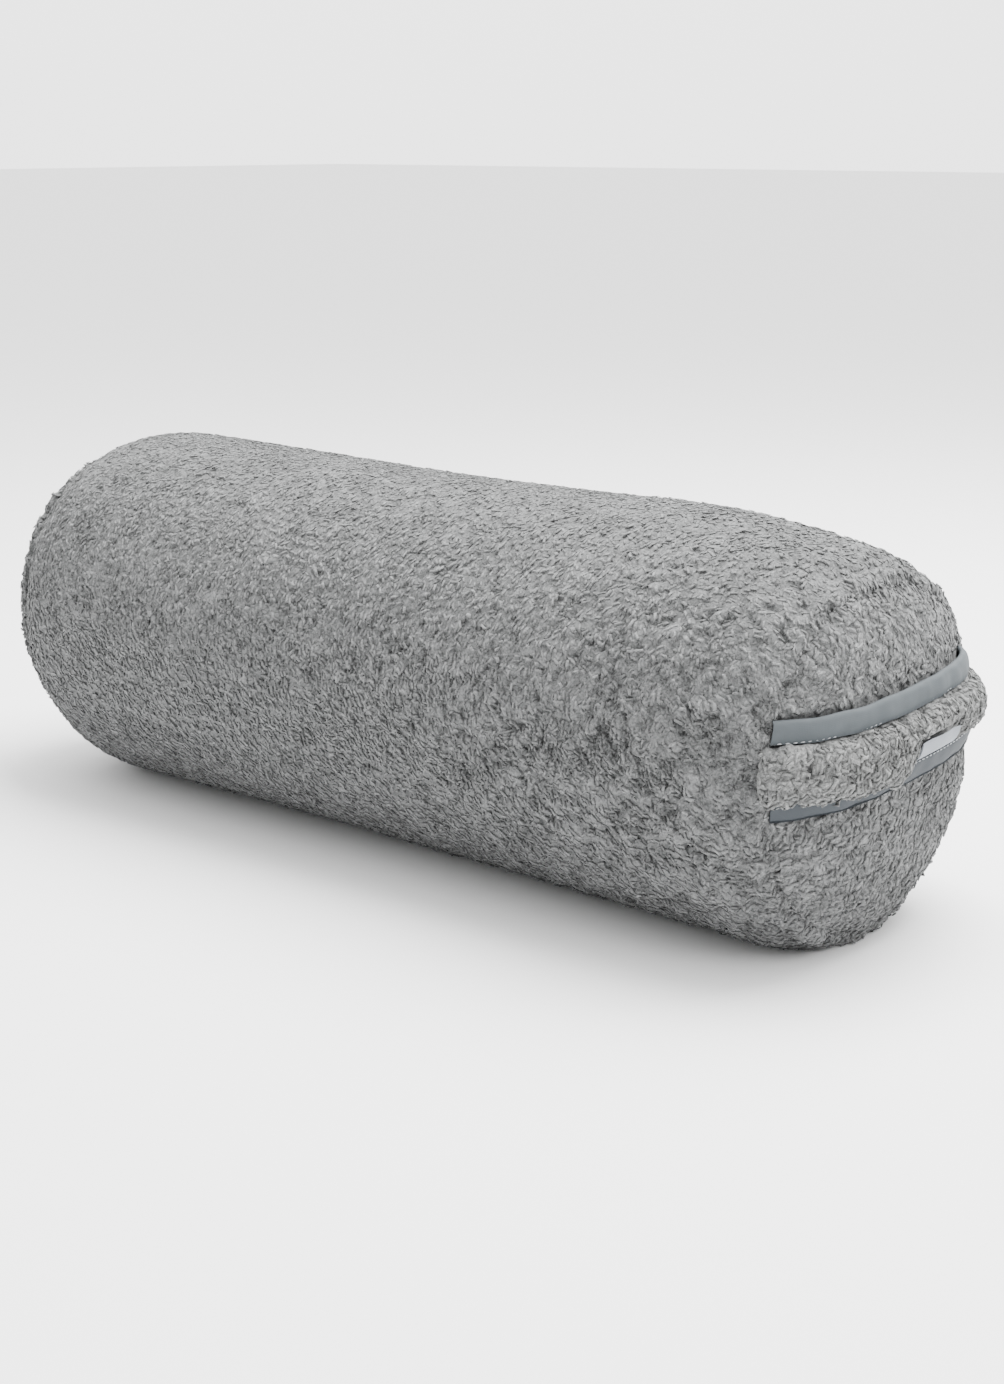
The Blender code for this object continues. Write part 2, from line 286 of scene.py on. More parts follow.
def wool_fleece(name, dark, light):
    """Undyed grey sheep's wool, carded and knitted in as a curled pile. Fine matt fibres of mixed greys give a
    soft salt-and-pepper grain. A fibre is far too fine to show, so the grain is drawn at 1.6 mm, a few fibres wide."""
    material, shader = new_material(name)
    place = add_node(material, "ShaderNodeTexCoord")
    fibre = add_node(
        material,
        "ShaderNodeTexNoise",
        [("Vector", place, "Object")],
        inputs={"Scale": 1 / (1.6 * MM), "Detail": 2.0, "Roughness": 0.6, "Distortion": 0.6},
    )
    patch = add_node(
        material,
        "ShaderNodeTexNoise",
        [("Vector", place, "Object")],
        inputs={"Scale": 1 / (26 * MM), "Detail": 2.0, "Roughness": 0.5},
    )
    # The tone attribute: each point's random tone with its painted light and shade added
    tone_and_painted_light = add_node(material, "ShaderNodeAttribute", attribute_name="tone_and_painted_light")
    grain = add_node(
        material,
        "ShaderNodeMath",
        [(0, fibre, "Fac"), (2, tone_and_painted_light, "Fac")],
        operation="MULTIPLY_ADD",
        inputs={1: 1.6},
    )
    mixed = add_node(
        material,
        "ShaderNodeMath",
        [(0, patch, "Fac"), (2, grain, "Value")],
        operation="MULTIPLY_ADD",
        inputs={1: 0.35},
    )
    level = add_node(
        material,
        "ShaderNodeMapRange",
        [("Value", mixed, "Value")],
        inputs={"From Min": 0.48, "From Max": 1.62},
    )
    colour = add_node(
        material,
        "ShaderNodeValToRGB",
        [("Fac", level, "Result")],
        ramp=[(0.0, linear(dark)), (1.0, linear(light))],
    )
    relief = add_node(
        material,
        "ShaderNodeBump",
        [("Height", fibre, "Fac")],
        inputs={"Strength": 0.6, "Distance": 1.0 * MM},
    )
    material.node_tree.links.new(colour.outputs["Color"], shader.inputs["Base Color"])
    material.node_tree.links.new(relief.outputs["Normal"], shader.inputs["Normal"])
    shader.inputs["Roughness"].default_value = 0.92
    shader.inputs["Specular IOR Level"].default_value = 0.1
    shader.inputs["Sheen Weight"].default_value = 0.12
    shader.inputs["Sheen Roughness"].default_value = 0.6
    return material


def woven_tape(name, colour, darker):
    """Folded cotton binding tape in a close plain weave. It is smooth and a little glossy beside the wool, and its
    threads, about 0.4 mm apart, only show as a faint grain. They are drawn 0.8 mm apart so that they show."""
    material, shader = new_material(name)
    cut = add_node(material, "ShaderNodeUVMap", uv_map="cut")
    thread_spacing = 0.8 * MM
    one_band = 0.314  # the wave texture's scale at which a band is one unit wide
    across, along = [
        add_node(
            material,
            "ShaderNodeTexWave",
            [("Vector", cut, "UV")],
            bands_direction=axis,
            inputs={"Scale": one_band / thread_spacing, "Distortion": 0.4, "Detail": 1.0},
        )
        for axis in "XY"
    ]
    weave = add_node(
        material, "ShaderNodeMath", [(0, across, "Fac"), (1, along, "Fac")], operation="MULTIPLY"
    )
    patches = add_node(
        material,
        "ShaderNodeTexNoise",
        [("Vector", cut, "UV")],
        inputs={"Scale": 1 / (14 * MM), "Detail": 2.0},
    )
    shade = add_node(
        material,
        "ShaderNodeValToRGB",
        [("Fac", patches, "Fac")],
        ramp=[(0.3, linear(darker)), (0.7, linear(colour))],
    )
    relief = add_node(
        material,
        "ShaderNodeBump",
        [("Height", weave, "Value")],
        inputs={"Strength": 0.35, "Distance": 0.12 * MM},
    )
    material.node_tree.links.new(shade.outputs["Color"], shader.inputs["Base Color"])
    material.node_tree.links.new(relief.outputs["Normal"], shader.inputs["Normal"])
    shader.inputs["Roughness"].default_value = 0.7
    shader.inputs["Specular IOR Level"].default_value = 0.22
    return material


def plain_matt(name, colour, roughness):
    """A plain matt surface, for thread and for the studio's floor."""
    material, shader = new_material(name)
    shader.inputs["Base Color"].default_value = linear(colour)
    shader.inputs["Roughness"].default_value = roughness
    shader.inputs["Specular IOR Level"].default_value = 0.2
    return material


# Studio


def studio():
    """The camera, the pale floor, the white surroundings and two lamps."""
    # The camera's place, aim and lens are fitted to the photograph's outlines
    camera_place, camera_aim, camera_lens = (0.88229, -0.96502, 0.41705), (0.0499, 0.0, 0.0941), 57.62
    bpy.ops.object.camera_add(location=camera_place)
    camera = bpy.context.view_layer.objects.active
    camera.name = "camera"
    aim = Vector(camera_aim) - camera.location
    camera.rotation_euler = aim.to_track_quat("-Z", "Y").to_euler()
    camera.data.lens = camera_lens
    camera.data.sensor_width = 36
    camera.data.clip_start = 0.01
    bpy.context.scene.camera = camera

    bpy.ops.mesh.primitive_plane_add(size=40, location=(0, 0, 0))
    floor = bpy.context.view_layer.objects.active
    floor.name = "studio_floor"
    floor.data.materials.append(plain_matt("white_studio_floor", "#F4F4F4", 0.9))

    # A white backdrop glows behind the bolster and overhead, the room on the camera's side is dimmer, and the
    # floor's far edge fades into white haze all round.
    world = bpy.data.worlds.new("white_studio")
    bpy.context.scene.world = world
    world.use_nodes = True
    background = world.node_tree.nodes["Background"]
    background.inputs["Color"].default_value = linear("#FFFFFF")
    way = add_node(world, "ShaderNodeTexCoord")
    behind = add_node(
        world,
        "ShaderNodeVectorMath",
        [(0, way, "Generated")],
        operation="DOT_PRODUCT",
        inputs={1: (-0.49, 0.57, 0.66)},
    )
    glow = add_node(
        world,
        "ShaderNodeMapRange",
        [("Value", behind, "Value")],
        interpolation_type="SMOOTHSTEP",
        inputs={"From Min": -0.45, "From Max": 1.25, "To Min": 0.6, "To Max": 4.0},
    )
    up = add_node(world, "ShaderNodeSeparateXYZ", [(0, way, "Generated")])
    haze = add_node(
        world,
        "ShaderNodeMapRange",
        [("Value", up, "Z")],
        interpolation_type="SMOOTHSTEP",
        inputs={"From Min": 0.04, "From Max": 0.24, "To Min": 2.7, "To Max": 0.5},
    )
    brighter = add_node(
        world,
        "ShaderNodeMath",
        [(0, glow, "Result"), (1, haze, "Result")],
        operation="SMOOTH_MAX",
        inputs={2: 0.3},
    )
    world.node_tree.links.new(brighter.outputs["Value"], background.inputs["Strength"])

    Lamp = namedtuple("Lamp", "name place width watts")
    lamps = (
        Lamp("overhead_softbox", (0.20, 0.50, 1.55), 1.3, 102),
        Lamp("right_softbox", (2.30, -0.30, 1.60), 1.2, 26),
    )
    for lamp in lamps:
        bpy.ops.object.light_add(type="AREA", location=lamp.place)
        light = bpy.context.view_layer.objects.active
        light.name = lamp.name
        light.data.size = lamp.width
        light.data.energy = lamp.watts
        aim = Vector((0, 0, 0.11)) - light.location
        light.rotation_euler = aim.to_track_quat("-Z", "Y").to_euler()


# Fleece


def core_of(points):
    """The nearest place on the filling's core, a line along the bolster."""
    core = np.zeros_like(points)
    core[:, 0] = np.clip(points[:, 0], *CORE_ENDS)
    core[:, 2] = CORE_HEIGHT
    return core


def core_directions(points):
    """Outward directions from the filling's core, the same for both pieces that meet at a seam."""
    return unit(points - core_of(points))


def whole_skin():
    """The outer faces of the tube and both end panels, to look up how far out the bolster reaches."""
    points, faces = [], []
    for node in ("filled_tube", "end_panel_strap_side", "end_panel_plain_side"):
        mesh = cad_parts[node].data
        first = len(points)
        points += [tuple(vertex.co) for vertex in mesh.vertices]
        faces += [tuple(first + i for i in face.vertices) for face in mesh.polygons]
    return bvhtree.BVHTree.FromPolygons(points, faces)


def draw_up_seam(obj, skin):
    """Closes the pile over a seam: the cloth beside it is drawn out to just under the bolster's outline."""
    points = coordinates(obj)
    outward = core_directions(points)
    seam = seam_nearness(points, SEAM_REACH)
    core = core_of(points)
    for i in np.nonzero(seam > 0.08)[0]:
        hit = skin.ray_cast(core[i] + outward[i] * 0.3, -outward[i])[0]
        out = Vector(core[i] + outward[i] * (SEAM_LIFT * seam[i] - PILE)) + (hit - Vector(core[i]))
        points[i] += (np.array(out) - points[i]) * min(1, seam[i] * 2.5)
    points[:, 2] = np.maximum(points[:, 2], CLOTH_FLOOR)
    move_to(obj, points)


def seam_nearness(points, reach):
    """1 on a seam, fading to 0 with the distance from it."""
    tree_points = [p for end in (PLAIN_END, STRAP_END) for p in seam_ring(end)]
    tree = kdtree.KDTree(len(tree_points))
    for i, point in enumerate(tree_points):
        tree.insert(point, i)
    tree.balance()
    near = np.abs(points[:, 0]) > 0.2  # no seam lies nearer to the middle than that
    nearness = np.zeros(len(points))
    distances = np.array([tree.find(point)[2] for point in points[near]])
    nearness[near] = np.exp(-((distances / reach) ** 2))
    return nearness


def plump(obj, voxel, pressure, cap, frames=20):
    """Remeshes a filled piece evenly, starts it a little too small and lets its filling press the cloth out.

    The cloth moves out by the cap at most, and the seams are held, as their stitches hold them."""
    only(obj)
    obj.data.remesh_voxel_size = voxel
    bpy.ops.object.voxel_remesh()
    packed = coordinates(obj)
    outward = core_directions(packed)
    seam = seam_nearness(packed, SEAM_REACH)
    start = packed - outward * (PILE + cap / 2)
    move_to(obj, start)
    held = obj.vertex_groups.new(name="held")
    for i in np.nonzero(seam > 0.6)[0]:
        held.add([int(i)], 1.0, "REPLACE")
    cloth = obj.modifiers.new("filling", "CLOTH")
    cloth.settings.quality = 4
    cloth.settings.mass = 0.3
    cloth.settings.tension_stiffness = 8
    cloth.settings.compression_stiffness = 8
    cloth.settings.bending_stiffness = 0.2
    cloth.settings.vertex_group_mass = "held"
    cloth.settings.use_pressure = True
    cloth.settings.uniform_pressure_force = pressure
    cloth.settings.effector_weights.gravity = 0
    cloth.point_cache.frame_start = 1
    cloth.point_cache.frame_end = frames
    for step in range(1, frames + 1):
        bpy.context.scene.frame_set(step)
    only(obj)
    bpy.ops.object.modifier_apply(modifier=cloth.name)
    moved = coordinates(obj) - start
    bpy.context.scene.frame_set(1)
    length = np.linalg.norm(moved, axis=1, keepdims=True)
    points = start + moved * np.minimum(1, cap / np.maximum(length, 1e-9))
    on_floor = packed[:, 2] < 0.5 * MM
    points[:, 2] = np.where(on_floor, CLOTH_FLOOR, np.maximum(points[:, 2], CLOTH_FLOOR))
    move_to(obj, points)


def subdivide(obj, levels=1):
    """Divides each face in four, once for each level, and smooths the whole."""
    smooth = obj.modifiers.new("smooth", "SUBSURF")
    smooth.levels = levels
    smooth.render_levels = levels
    apply_all(obj)


def unit(vectors):
    """The vectors, each at a length of one."""
    return vectors / np.maximum(np.linalg.norm(vectors, axis=1, keepdims=True), 1e-9)


def smooth_step(low, high, value):
    """0 below low, 1 above high and a smooth rise between them."""
    t = np.clip((value - low) / (high - low), 0, 1)
    return t * t * (3 - 2 * t)


def spread_over(points, apart, dice):
    """Numbers of the points that are left when each keeps its distance from the others."""
    tree = kdtree.KDTree(len(points))
    for i, point in enumerate(points):
        tree.insert(point, i)
    tree.balance()
    free = np.ones(len(points), bool)
    kept = []
    for i in dice.permutation(len(points)):
        if free[i]:
            kept.append(i)
            for _, j, _ in tree.find_range(points[i], apart[i]):
                free[j] = False
    return np.array(kept)


def set_tone(obj, tones):
    """How much lighter or darker than the rest each point of the wool is: its random tone with painted light and shade
    added.
    """
    tone_and_painted_light = obj.data.attributes.new("tone_and_painted_light", "FLOAT", "POINT")
    tone_and_painted_light.data.foreach_set("value", tones.astype(np.float32))


def raise_tufts(obj, nap_at, size_at, height_at, seed):
    """Gathers the pile into tufts that lie over each other: each rises from its root and rounds off at its tip."""
    dice = np.random.default_rng(seed)
    points, outward = coordinates(obj), unit(normals(obj))
    size = size_at(points)
    kept = spread_over(points, size * 0.50, dice)  # tufts overlap: roots stand half a size apart
    roots, out = points[kept], outward[kept]
    count = len(kept)
    way = nap_at(roots, out) + dice.normal(0, 0.35, (count, 3))
    way = unit(way - out * (way * out).sum(1)[:, None])
    side = np.cross(out, way)
    half_long = size[kept] * 0.62 * np.exp(dice.normal(0, 0.15, count))
    half_wide = size[kept] * 0.36 * np.exp(dice.normal(0, 0.12, count))
    bend = dice.normal(0, 0.45, count)
    rank = dice.uniform(0.55, 1.0, count)  # a lower tuft is tucked under its neighbours
    shade = dice.normal(0, 0.07, count)
    tree = kdtree.KDTree(count)
    for i, root in enumerate(roots):
        tree.insert(root, i)
    tree.balance()
    near = np.array([[found[1] for found in tree.find_n(point, 7)] for point in points])
    # u runs along each tuft from root to tip and v across it, both 1 at its edge
    offset = points[:, None] - roots[near]
    u = (offset * way[near]).sum(2) / half_long[near]
    v = (offset * side[near]).sum(2) / half_wide[near] + bend[near] * (u**2 - 0.4)
    rise = smooth_step(-1.1, 0.45, u) * (1 - smooth_step(0.65, 1.1, u))
    tuft = np.sqrt(np.clip(1 - v**2, 0, 1)) * (0.25 + 0.75 * rise) * rank[near]
    tuft[np.abs(u) > 1.1] = 0
    top = tuft.max(1)
    best = np.take_along_axis(near, tuft.argmax(1)[:, None], 1)[:, 0]
    height = height_at(points)
    points += outward * (height * top)[:, None]
    points[:, 2] = np.maximum(points[:, 2], TUFT_FLOOR)
    move_to(obj, points)
    # Painted light and shade: tips are painted lighter, as if they caught the light, and roots darker, as if in shade,
    # less so on top of the curled half
    painted_light_contrast = (45 * height + 0.45) * (1 - 0.55 * np.clip(outward[:, 2], 0, 1) * gathered(points))
    set_tone(obj, painted_light_contrast * (top - 0.55) + shade[best] * (top > 0))


# The locks of wool. Each is a small closed curl of three sides, bent, rounded and buried at both ends.
Curl = namedtuple("Curl", "bow sway")
CURLS = (Curl(0.10, 0.16), Curl(0.16, -0.20), Curl(0.06, 0.26), Curl(0.12, -0.08), Curl(0.04, -0.30))


def narrow_to_tip(ahead, aside, up):
    """Draws the selected end of a lock out to a point."""
    bpy.ops.mesh.extrude_region_move(TRANSFORM_OT_translate={"value": (ahead, aside, up)})
    bpy.ops.mesh.merge(type="CENTER")


def curl_shape(curl):
    """One lock of wool a unit long, modelled along +X and read as points and faces."""
    bpy.ops.object.select_all(action="DESELECT")
    bpy.ops.mesh.primitive_circle_add(
        vertices=3, radius=0.17, fill_type="NGON", location=(-0.28, 0, 0), rotation=(0, math.pi / 2, 0)
    )
    lock = bpy.context.view_layer.objects.active
    bpy.ops.object.transform_apply(location=True, rotation=True, scale=True)
    bpy.ops.object.mode_set(mode="EDIT")
    bpy.ops.mesh.select_all(action="SELECT")
    bpy.ops.mesh.extrude_region_move(TRANSFORM_OT_translate={"value": (0.54, curl.sway, curl.bow)})
    narrow_to_tip(0.24, -curl.sway, -0.10 - curl.bow)
    bpy.ops.mesh.select_all(action="DESELECT")
    mesh = bmesh.from_edit_mesh(lock.data)
    for face in mesh.faces:
        face.select = all(abs(vertex.co.x + 0.28) < 0.01 for vertex in face.verts)
    mesh.select_flush_mode()
    bmesh.update_edit_mesh(lock.data)
    narrow_to_tip(-0.22, -curl.sway * 0.6, -0.12)
    bpy.ops.mesh.select_all(action="SELECT")
    bpy.ops.mesh.quads_convert_to_tris()
    bpy.ops.mesh.normals_make_consistent(inside=False)
    bpy.ops.object.mode_set(mode="OBJECT")
    points = coordinates(lock)
    faces = np.array([tuple(face.vertices) for face in lock.data.polygons])
    bpy.data.objects.remove(lock)
    return points, faces


def mesh_from_copies(name, points, faces):
    """One joined mesh from the points and faces of many copies."""
    mesh = bpy.data.meshes.new(name)
    mesh.vertices.add(len(points))
    mesh.vertices.foreach_set("co", points.astype(np.float32).ravel())
    mesh.loops.add(faces.size)
    mesh.loops.foreach_set("vertex_index", faces.astype(np.int32).ravel())
    mesh.polygons.add(len(faces))
    mesh.polygons.foreach_set("loop_start", np.arange(0, faces.size, 3, dtype=np.int32))
    mesh.update(calc_edges=True)
    obj = bpy.data.objects.new(name, mesh)
    bpy.context.scene.collection.objects.link(obj)
    return obj


def tones_of(obj):
    """The tones that set_tone gave the object's points."""
    tones = np.empty(len(obj.data.vertices), np.float32)
    obj.data.attributes["tone_and_painted_light"].data.foreach_get("value", tones)
    return tones.astype(float)


def lay_locks(name, cloth, shapes, shown_at, apart, nap_at, length, width, height_at, seed):
    """Covers a cloth with locks of wool that follow its nap. They stand an even distance apart."""
    dice = np.random.default_rng(seed)
    points, outward, tones = coordinates(cloth), unit(normals(cloth)), tones_of(cloth)
    shown = np.nonzero(shown_at(points, outward))[0]
    kept = shown[spread_over(points[shown], np.full(len(shown), apart), dice)]
    count = len(kept)
    out = outward[kept]
    roots = points[kept] + dice.uniform(-0.3, 0.3, (count, 3)) * apart
    roots -= out * ((roots - points[kept]) * out).sum(1)[:, None]
    way = nap_at(roots, out) + dice.normal(0, 0.50, (count, 3))
    way = unit(way - out * (way * out).sum(1)[:, None])
    aside = np.cross(out, way)
    long = length * np.exp(dice.normal(0, 0.2, count))
    wide = width * np.exp(dice.normal(0, 0.2, count))
    # Locks lie flatter and calmer where they face up, and calmer where the tufts are curled
    steep = np.clip(out[:, 2], 0, 1)
    tall = height_at(roots) * np.exp(dice.normal(0, 0.25, count)) * (1 - 0.75 * steep)
    curly = gathered(roots)
    shades = tones[kept] + 0.04 + dice.normal(0, 0.10, count) * (1 - 0.85 * steep) * (1 - 0.4 * curly)
    kind = dice.integers(0, len(shapes), count)
    all_points, all_faces, all_tones, first = [], [], [], 0
    for k, (shape, faces) in enumerate(shapes):
        chosen = np.nonzero(kind == k)[0]
        placed = (
            roots[chosen, None]
            + way[chosen, None] * (shape[None, :, 0:1] * long[chosen, None, None])
            + aside[chosen, None] * (shape[None, :, 1:2] * wide[chosen, None, None] * 2.7)
            + out[chosen, None] * ((shape[None, :, 2:3] * 2.6 + 0.20) * tall[chosen, None, None])
        )
        # Painted light and shade: each lock is painted lighter where it rises and darker towards its buried ends, less
        # so where it faces up or where the tufts are curled
        painted_tip_light = (0.25 * (1 - 0.75 * steep) * (1 - 0.35 * curly))[chosen, None]
        tone_and_painted_light = shades[chosen, None] + painted_tip_light * shape[None, :, 2]
        start = first + np.arange(len(chosen)) * len(shape)
        all_points.append(placed.reshape(-1, 3))
        all_faces.append((faces[None] + start[:, None, None]).reshape(-1, 3))
        all_tones.append(tone_and_painted_light.ravel())
        first += len(chosen) * len(shape)
    points = np.concatenate(all_points)
    points[:, 2] = np.maximum(points[:, 2], LOCK_FLOOR)
    locks = mesh_from_copies(name, points, np.concatenate(all_faces))
    set_tone(locks, np.concatenate(all_tones))
    return locks


def along_and_across(points):
    """How far along and across the strap each point lies, seen square to its end panel."""
    flat = (points - np.array(STRAP_PLACE)) @ np.array(STRAP_TURN)
    return flat[:, 1], flat[:, 2]


def under_strap(points):
    """1 where the strap covers the end panel, else 0."""
    _, across = along_and_across(points)
    return ((np.abs(across) < STRAP_WIDTH / 2 + 1 * MM) & (points[:, 0] > 0.27)).astype(float)


def beside_label(along, across):
    """Whether places on the strap lie behind its label or just beside it."""
    return (along > LABEL_ROOM[0]) & (along < LABEL_ROOM[1]) & (across < 0.002)


def panel_tuft_height(points):
    """The end panel's tufts, pressed down under the strap's sewn ends."""
    pressed = under_strap(points) * smooth_step(0.025, 0.065, np.abs(points[:, 1]))
    return (2.6 - 2.0 * pressed) * MM


def share_at(points):
    """How far out a point lies on its end of the bolster: 1 on the full section, 0 in the middle."""
    end = np.where(points[:, 0] > 0, 1, 0)
    sections = (PLAIN_END.seam_section, STRAP_END.seam_section)
    half_width = np.array([section.half_width for section in sections])[end]
    middle = np.array([centre_height(section) for section in sections])[end]
    half = np.array([half_height(section) for section in sections])[end]
    return np.hypot(points[:, 1] / half_width, (points[:, 2] - middle) / half)


def tube_shown(first, last):
    """The tube's visible cloth in one stretch of its length, clear of the end panels and of what it rests on."""

    def shown(points, outward):
        within = (points[:, 0] >= first) & (points[:, 0] < last)
        under_panel = (np.abs(points[:, 0]) > 0.24) & (share_at(points) < 0.84)
        resting = outward[:, 2] <= -0.985
        return within & ~under_panel & ~resting

    return shown


def panel_shown(points, outward):
    """The end panels' outer faces, but for what the strap covers."""
    return ((outward * core_directions(points)).sum(1) > 0.3) & (under_strap(points) < 0.5)


def strap_shown(points, outward):
    """The strap's pile, clear of its back, its sewn edges and the label that stands before it."""
    along, across = along_and_across(points)
    at_sewn_end = np.abs(along) > HALF_SPAN - 4 * MM
    front = (outward[:, 0] > 0.05) | (at_sewn_end & (outward[:, 0] > -0.3))
    at_tape = across > TAPE_MOUTH - 1.5 * MM
    return front & ~beside_label(along, across) & ~at_tape


def drift(roots, size):
    """Smooth random directions that change over about the size given."""
    return np.array([noise.noise_vector(Vector(root) / size) for root in roots])


def brushed_nap(roots, outward):
    """The tube's nap runs along it and down its sides, and turns across it on the top and at the strap's end."""
    steep = np.clip(outward[:, 2], 0, 1)
    curly = gathered(roots)
    nap = np.zeros_like(roots)
    nap[:, 0] = 0.8 - 0.7 * steep
    nap[:, 1] = -0.5 * steep
    nap[:, 2] = -0.65
    return nap + drift(roots, 60 * MM) * 0.5 + drift(roots, 17 * MM) * (0.5 + 1.2 * curly)[:, None]


def swirled_nap(roots, outward):
    """The pile of the cut panels lies every way, in swirls."""
    return drift(roots, 17 * MM) * 2.4


def strap_tuft_height(points):
    """The strap's tufts stand high, but for beside the label, where they are pressed flat."""
    return np.where(beside_label(*along_and_across(points)), 0.3, 2.8) * MM


def strap_nap(roots, outward):
    """The strap's pile hangs down over its lower tape and spills past its sewn ends."""
    nap = drift(roots, 9 * MM) * 1.6
    nap[:, 2] -= 0.5
    nap[:, 1] += np.sign(roots[:, 1]) * np.clip((np.abs(roots[:, 1]) - 0.08) / 0.01, 0, 1) * 1.2
    return nap


def gathered(points):
    """0 where the pile is combed fine, rising to 1 where it gathers into curls towards the strap's end."""
    uneven = noise_at(points, 70 * MM) * 0.06
    lower_down = 2.0 * (0.12 - points[:, 2]).clip(-0.12, 0.02)
    return smooth_step(-0.04, 0.20, points[:, 0] + uneven + lower_down)


def evenly(size):
    """The same size at every point."""
    return lambda points: np.full(len(points), size)


def noise_at(points, size):
    """A smooth random number at each point, which changes over about the size given."""
    return np.array([noise.noise(Vector(point) / size) for point in points])


# Strap


# The strap's pile along it, as the photograph shows it. In each row: the place along the strap in metres, how far
# the pile hangs over the lower tape in millimetres, its lower flank's hollow, and the rise of the upper edge and its
# tape in millimetres. The pile stands back where the label is.
STRAP_ROWS = np.array(
    [
        (-0.100, 4.0, 0.75, 1.2),
        (-0.075, 5.5, 0.75, 0.6),
        (-0.050, 7.0, 0.75, 0.0),
        (-0.024, 8.0, 0.75, 0.0),
        (-0.015, 5.0, 1.10, 0.0),
        (-0.007, -1.5, 3.00, 0.0),
        (0.032, -1.5, 3.00, 0.0),
        (0.045, 0.5, 1.00, 0.0),
        (0.072, 1.5, 0.90, -1.0),
        (0.100, 3.0, 0.75, -4.0),
    ]
)


def strap_row(along):
    """The overhang, the hollow and the rise at a place along the strap, between the rows above."""
    return [float(np.interp(along, STRAP_ROWS[:, 0], STRAP_ROWS[:, k])) for k in (1, 2, 3)]


def deep_at(along):
    """0 near the strap's near end, 1 where the upper tape's stitches are drawn so deep that they don't show."""
    return float(smooth_step(-0.088, -0.062, along))


def strap_backing():
    """The strap's raised middle between its tapes: a long cylinder shaped to the crown under the pile."""
    bpy.ops.object.select_all(action="DESELECT")
    bpy.ops.mesh.primitive_cylinder_add(vertices=36, radius=1, depth=2, end_fill_type="TRIFAN")
    strap = bpy.context.view_layer.objects.active
    strap.name = "strap_fleece"
    bpy.ops.object.mode_set(mode="EDIT")
    mesh = bmesh.from_edit_mesh(strap.data)
    for line in mesh.edges:
        line.select = abs(line.verts[0].co.z - line.verts[1].co.z) > 1
    bmesh.update_edit_mesh(strap.data)
    bpy.ops.mesh.subdivide(number_cuts=90)
    bpy.ops.object.mode_set(mode="OBJECT")
    side = TAPE_MOUTH - 1.2 * MM
    # How far the backing's back, its edge, its pile over the lower tape and its top stand away from the panel
    back, edge, over_tape, top = 1.2 * MM, 2.8 * MM, 4.6 * MM, 10.4 * MM
    points = []
    for vertex in strap.data.vertices:
        past_seam = (3.0 if vertex.co.z < 0 else 0.0) * MM
        along = vertex.co.z * (HALF_SPAN + past_seam)
        radius = math.hypot(vertex.co.x, vertex.co.y)
        angle = math.atan2(vertex.co.y, vertex.co.x)
        overhang, hollow, rise = strap_row(along)
        overhang += 1.5 * noise.noise(Vector((along / (8 * MM), 7.0, 0)))
        pinch = 1 - 0.30 * min(abs(along / HALF_SPAN), 1) ** 8
        if math.sin(angle) >= 0:
            upper = math.cos(angle) > 0
            power = 0.8 if upper else hollow
            if upper:
                reach, base = side + (rise - 2.2 * deep_at(along)) * MM, edge
            else:
                reach = -side - max(overhang - 2.6, -1.5) * MM
                base = edge + (over_tape - edge) * min(max(overhang / 5, 0), 1)
            across = reach * abs(math.cos(angle)) ** power
            away = base + (top * pinch - base) * abs(math.sin(angle)) ** power
        else:
            across = side * math.cos(angle)
            away = back + (edge - back) * abs(math.cos(angle)) ** 4
        points.append(on_strap(along, across * radius, back + (away - back) * radius))
    move_to(strap, points)
    only(strap)
    bpy.ops.object.mode_set(mode="EDIT")
    bpy.ops.mesh.select_all(action="SELECT")
    bpy.ops.mesh.normals_make_consistent(inside=False)
    bpy.ops.object.mode_set(mode="OBJECT")
    subdivide(strap)
    return strap


def path_length(across, away, start=-HALF_SPAN, stop=HALF_SPAN):
    """The length of a line that runs along the strap."""
    places = [on_strap(start + (stop - start) * i / 60, across, away) for i in range(61)]
    return sum((b - a).length for a, b in zip(places, places[1:]))


def flat_cloth(name, length, width, steps_along, steps_across):
    """A flat cut of cloth with its own map in metres, a grid added at its cut size."""
    bpy.ops.object.select_all(action="DESELECT")
    bpy.ops.mesh.primitive_grid_add(x_subdivisions=steps_along, y_subdivisions=steps_across, size=1)
    cloth = bpy.context.view_layer.objects.active
    cloth.name = name
    bpy.ops.transform.resize(value=(length, width, 1))
    bpy.ops.object.transform_apply(location=False, rotation=False, scale=True)
    cut = cloth.data.uv_layers[0]
    cut.name = "cut"
    for loop in cloth.data.loops:
        place = cloth.data.vertices[loop.vertex_index].co
        cut.data[loop.index].uv = (place.x + length / 2, place.y + width / 2)
    return cloth


def thicken(cloth, thickness):
    """Gives a sheet its thickness, half to each side."""
    wall = cloth.modifiers.new("thickness", "SOLIDIFY")
    wall.thickness = thickness
    wall.offset = 0
    apply_all(cloth)


def lean(across):
    """How far the face of the lower tape is pushed out by the pile over it, and in at its lower edge."""
    from_mouth = min(max((across - STRAP_WIDTH / 2) / TAPE_WIDTH + 1, 0), 1)
    return (1.6 - 3.8 * from_mouth) * MM


